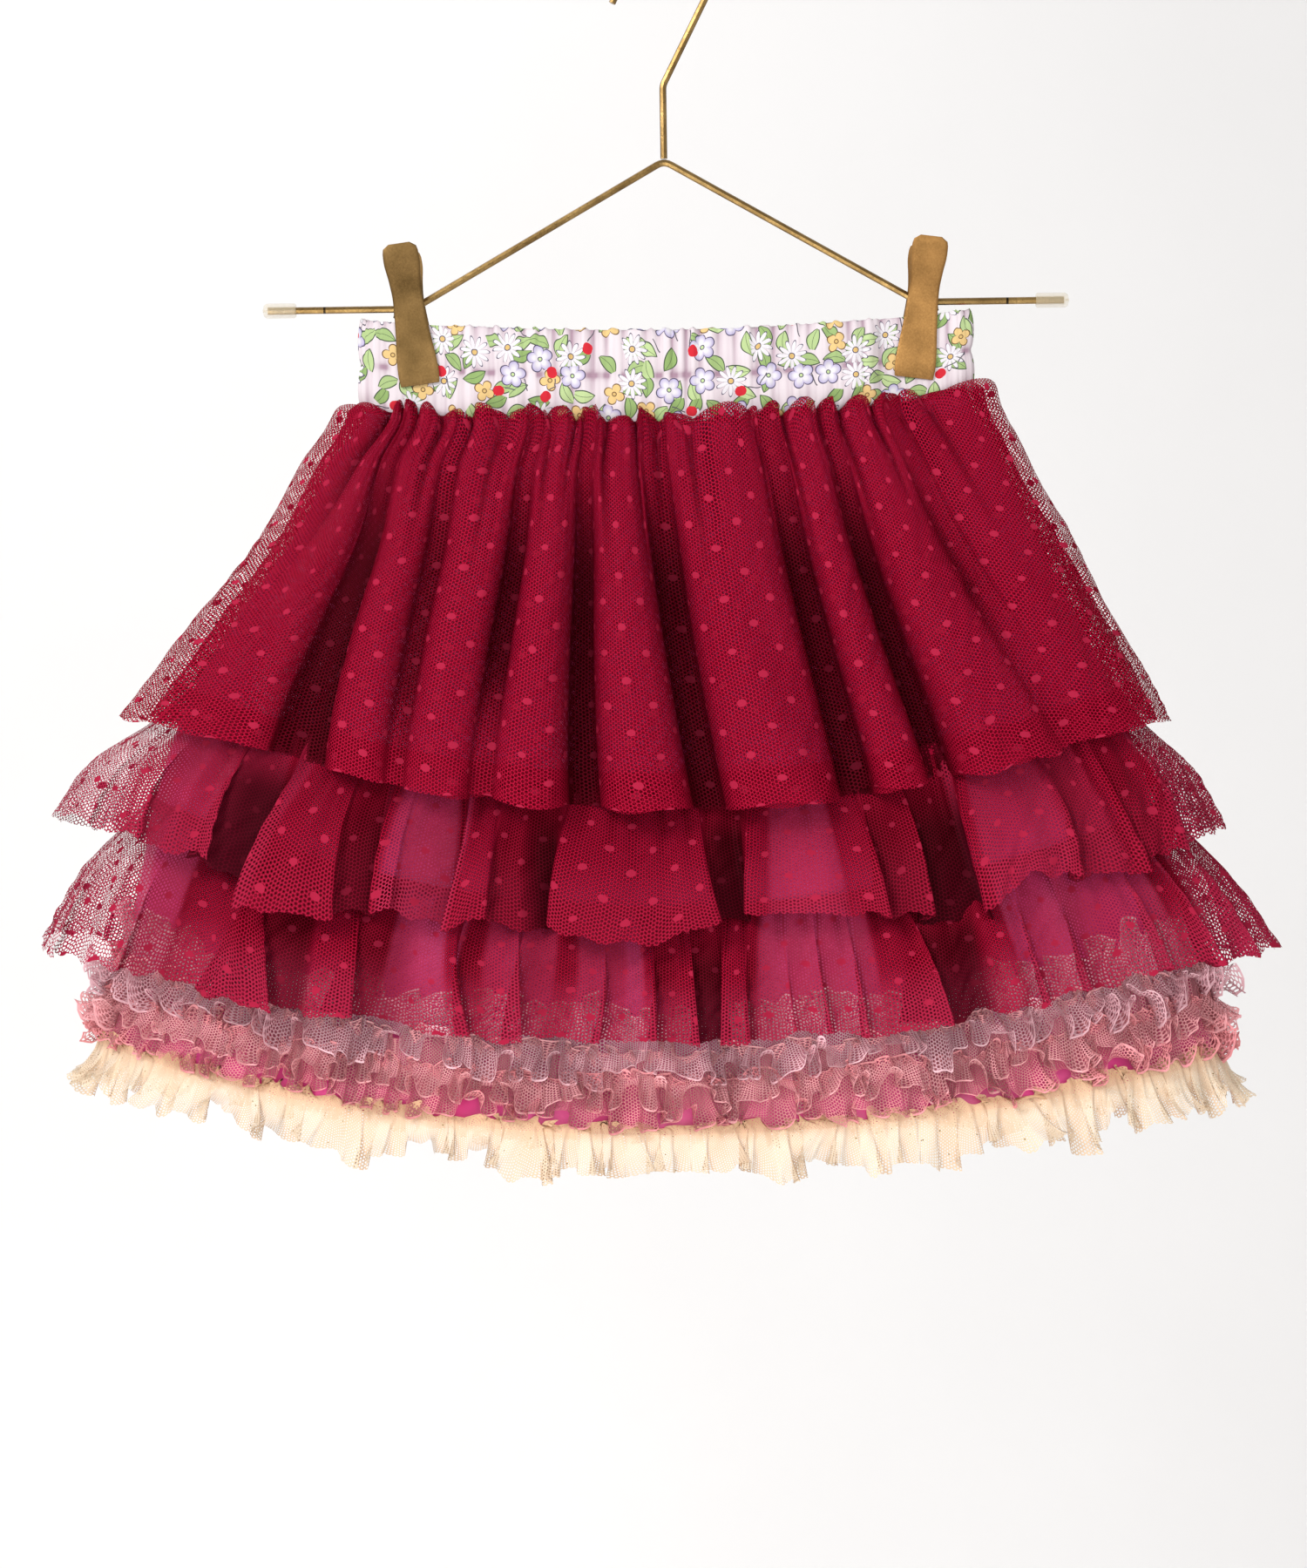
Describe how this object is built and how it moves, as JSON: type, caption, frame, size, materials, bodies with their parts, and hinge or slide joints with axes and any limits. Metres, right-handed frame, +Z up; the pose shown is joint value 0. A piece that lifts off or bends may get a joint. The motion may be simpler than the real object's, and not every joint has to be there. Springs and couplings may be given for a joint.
{
  "type": "tutu on a clip hanger",
  "caption": "Child's layered net tutu with an elastic floral waistband and ruffled hem, clipped flat to a wire hanger with a round hook.",
  "frame": {"origin": "highest point inside the hanger's hook, where a rail carries it", "axes": "+X to the wearer's left as seen from the front, along the hanger; +Y to the back; +Z up"},
  "size_m": [0.4268, 0.1402, 0.4242],
  "materials": {
    "antique_brass_wire": "antique, smooth",
    "antique_brass_plate": "antique, matte and grainy",
    "spring_steel": "dull",
    "clear_cap": "clear and glossy",
    "printed_cotton": "floral print on woven cotton",
    "crimson_net": "soft net with small flocked dots",
    "magenta_satin": "soft satin sheen",
    "lilac_pink_net": "gathered net",
    "rose_net": "gathered net",
    "dusty_rose_net": "gathered net",
    "cream_cotton": "matte cotton with fine metallic specks"
  },
  "bodies": {
    "root": {"hanger_hook": "antique_brass_wire", "hanger_arms": "antique_brass_wire", "end_cap_left": "clear_cap", "end_cap_right": "clear_cap", "clip_left_front": "antique_brass_plate", "clip_left_back": "antique_brass_plate", "clip_left_spring": "spring_steel", "clip_right_front": "antique_brass_plate", "clip_right_back": "antique_brass_plate", "clip_right_spring": "spring_steel", "waistband": "printed_cotton", "overskirt": "crimson_net", "flounce_upper": "crimson_net", "flounce_lower": "crimson_net", "base_skirt": "magenta_satin", "ruffle_row_1": "lilac_pink_net", "ruffle_row_2": "rose_net", "ruffle_row_3": "dusty_rose_net", "hem_ruffle": "cream_cotton"}
  },
  "joints": []
}
